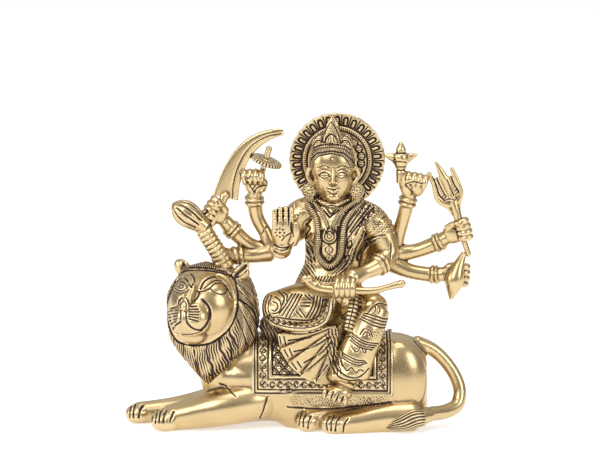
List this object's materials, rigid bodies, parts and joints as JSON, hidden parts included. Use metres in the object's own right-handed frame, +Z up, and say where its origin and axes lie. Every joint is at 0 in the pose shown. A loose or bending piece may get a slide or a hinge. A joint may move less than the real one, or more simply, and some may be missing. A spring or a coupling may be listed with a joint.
{
  "type": "deity statue",
  "caption": "Cast brass statue of a many-armed goddess seated sideways on a lying lion, with halo, crown and attributes in her hands.",
  "frame": {"origin": "on the flat underside of the lion, below the middle of its trunk", "axes": "+Z up, +X along the lion towards its tail (the viewer's right), +Y away from the viewer, out of the goddess's back"},
  "size_m": [0.2194, 0.0681, 0.1963],
  "materials": {
    "brass": "polished antique brass, dark patina in the carving"
  },
  "bodies": {
    "root": {"durga_on_lion": "brass"}
  },
  "joints": []
}
